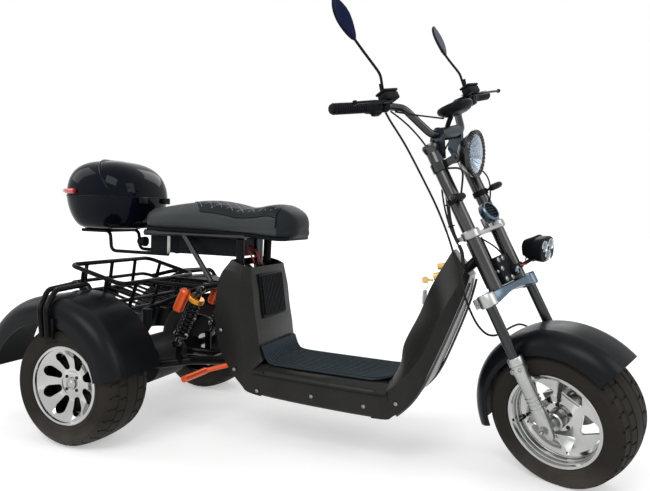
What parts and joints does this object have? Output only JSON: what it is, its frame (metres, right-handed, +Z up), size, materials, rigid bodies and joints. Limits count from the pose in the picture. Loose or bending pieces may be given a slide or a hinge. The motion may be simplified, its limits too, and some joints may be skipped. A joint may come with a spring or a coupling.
{
  "type": "motorized trike",
  "caption": "Electric cargo trike with a step-through body, long quilted seat, rear basket, hinged top box and a chopper-style raked fork.",
  "frame": {"origin": "on the ground under the middle of the machine's bounding box", "axes": "+X forward, +Y to the rider's left, +Z up"},
  "size_m": [2.2198, 1.11, 1.5611],
  "materials": {
    "body_shell": "satin",
    "fender_black": "satin",
    "black_paint": "satin",
    "black_plastic": "matte",
    "mat_rubber": "matte",
    "grip_rubber": "matte",
    "seat_leather": "satin",
    "box_gloss": "gloss",
    "orange_alloy": "satin",
    "tyre_rubber": "matte",
    "rim_polish": "polished",
    "silver_alloy": "satin",
    "grey_steel": "satin",
    "dark_steel": "satin",
    "cast_motor": "matte",
    "headlight_glass": "gloss",
    "brass_lock": "satin",
    "cable_sheath": "satin"
  },
  "bodies": {
    "chassis": {"basket": "black_paint", "battery_pack": "black_plastic", "body_sleeve": "cable_sheath", "box_base": "box_gloss", "box_rack": "black_paint", "controller_case": "black_plastic", "drive_motor": "cast_motor", "fender_stays": "black_paint", "floor_mat": "mat_rubber", "floor_tray": "body_shell", "footpegs": "orange_alloy", "grille_panel": "black_plastic", "ignition_lock": "brass_lock", "leg_shield": "body_shell", "main_frame": "black_paint", "rear_axle": "black_paint", "rear_fender_left": "fender_black", "rear_fender_right": "fender_black", "rear_lamps": "black_plastic", "rear_rack": "black_paint", "seat_cushion": "seat_leather", "seat_frame": "black_paint", "seat_housing": "body_shell", "shock_absorbers": "black_paint", "swing_arm": "black_paint"},
    "front_wheel": {"brake_disc": "grey_steel", "front_rim": "rim_polish", "front_tyre": "tyre_rubber"},
    "fork": {"bar_clamp": "black_paint", "brake_hose": "cable_sheath", "brake_levers": "black_paint", "display": "black_plastic", "fork_sleeve": "cable_sheath", "fork_sliders": "silver_alloy", "front_axle": "grey_steel", "front_caliper": "silver_alloy", "front_fender": "fender_black", "front_signals": "black_plastic", "grips": "grip_rubber", "hand_controls": "black_plastic", "handlebar": "dark_steel", "headlight": "headlight_glass", "horn": "black_plastic", "lower_clamp": "silver_alloy", "mirrors": "black_plastic", "round_lamp": "headlight_glass", "spot_lamp": "black_plastic", "stanchions": "dark_steel", "upper_clamp": "silver_alloy", "upper_tubes": "dark_steel", "wiring_block": "black_plastic"},
    "rear_wheel_right": {"rear_rim_right": "rim_polish", "rear_tyre_right": "tyre_rubber"},
    "rear_wheel_left": {"rear_rim_left": "rim_polish", "rear_tyre_left": "tyre_rubber"},
    "lid": {"box_lid": "box_gloss"}
  },
  "joints": [
    {"name": "steering", "type": "hinge", "parent": "chassis", "child": "fork", "pos_m": [0.6207, 0, 0.65586], "axis": [-0.454, 0, 0.891], "range_deg": [-9.5, 60.5]},
    {"name": "front_wheel_spin", "type": "hinge", "parent": "fork", "child": "front_wheel", "pos_m": [0.88148, -0.01808, 0.22757], "axis": [0.3836, 0.9026, 0.1954], "continuous": true},
    {"name": "rear_right_spin", "type": "hinge", "parent": "chassis", "child": "rear_wheel_right", "pos_m": [-0.71888, -0.414, 0.217], "axis": [0, 1, 0], "continuous": true},
    {"name": "rear_left_spin", "type": "hinge", "parent": "chassis", "child": "rear_wheel_left", "pos_m": [-0.71888, 0.414, 0.217], "axis": [0, 1, 0], "continuous": true},
    {"name": "lid_hinge", "type": "hinge", "parent": "chassis", "child": "lid", "pos_m": [-0.72888, 0, 0.876], "axis": [0, 1, 0], "range_deg": [0, 80]}
  ]
}
